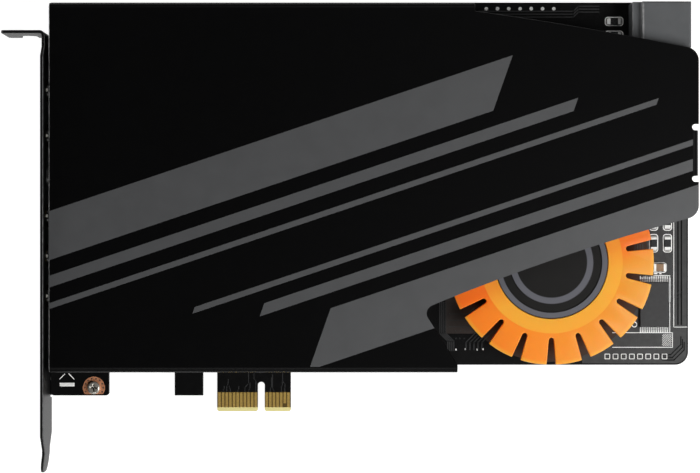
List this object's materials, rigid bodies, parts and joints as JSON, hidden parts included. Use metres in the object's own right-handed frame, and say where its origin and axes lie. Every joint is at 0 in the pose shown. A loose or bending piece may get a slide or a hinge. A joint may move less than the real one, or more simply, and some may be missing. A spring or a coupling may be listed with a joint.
{
  "type": "sound card",
  "caption": "Expansion-slot sound card: circuit board with a contact tongue, a slot bracket over a row of audio jacks, a folded black cover with a swept cut-out and a slotted orange eye ring.",
  "frame": {"origin": "middle of the key notch at the contact edge, on the board's component face", "axes": "+X along the board away from the bracket, +Y up from the slot contacts, +Z out of the component side"},
  "size_m": [0.1885, 0.1286, 0.0184],
  "materials": {
    "solder_mask": "satin",
    "contact_gold": "plated",
    "bracket_steel": "dark plated",
    "screw_steel": "plated",
    "cover_paint": "fine powder coat",
    "standoff_metal": "plain",
    "black_screw": "black oxide",
    "ring_plastic": "translucent",
    "hub_plastic": "satin",
    "lamp_plastic": "plain",
    "tinned_pin": "tinned",
    "socket_plastic": "satin",
    "chip_plastic": "moulded",
    "chip_lead": "tinned",
    "capacitor_can": "satin",
    "base_plastic": "moulded",
    "film_plastic": "dipped",
    "relay_plastic": "moulded",
    "choke_ferrite": "pressed",
    "crystal_can": "satin",
    "resistor_body": "glazed",
    "ceramic_body": "fired",
    "jack_plastic": "moulded",
    "collar_gold": "plated",
    "collar_black": "moulded"
  },
  "bodies": {
    "root": {"circuit_board": "solder_mask", "slot_contacts_front": "contact_gold", "slot_contacts_back": "contact_gold", "bracket": "bracket_steel", "bracket_screws": "screw_steel", "cover": "cover_paint", "cover_standoffs": "standoff_metal", "cover_screws": "black_screw", "eye_ring": "ring_plastic", "eye_hub": "hub_plastic", "eye_lamps": "lamp_plastic", "jack_pins": "tinned_pin", "power_socket": "socket_plastic", "power_pins": "tinned_pin", "firmware_memory": "chip_plastic", "playback_converter": "chip_plastic", "recording_converter": "chip_plastic", "op_amps": "chip_plastic", "headphone_amplifier": "chip_plastic", "audio_processor": "chip_plastic", "bus_bridge": "chip_plastic", "chip_leads": "chip_lead", "coupling_capacitors": "film_plastic", "supply_capacitors": "capacitor_can", "capacitor_bases": "base_plastic", "film_capacitors": "film_plastic", "muting_relays": "relay_plastic", "supply_chokes": "choke_ferrite", "voltage_regulators": "chip_plastic", "clock_crystals": "crystal_can", "chip_resistors": "resistor_body", "chip_capacitors": "ceramic_body", "line_jack": "jack_plastic", "front_jack": "jack_plastic", "rear_jack": "jack_plastic", "digital_jack": "jack_plastic", "microphone_jack": "jack_plastic", "headphone_jack": "jack_plastic", "line_collar": "collar_gold", "front_collar": "collar_gold", "rear_collar": "collar_gold", "digital_collar": "collar_black", "microphone_collar": "collar_gold", "headphone_collar": "collar_gold"}
  },
  "joints": []
}
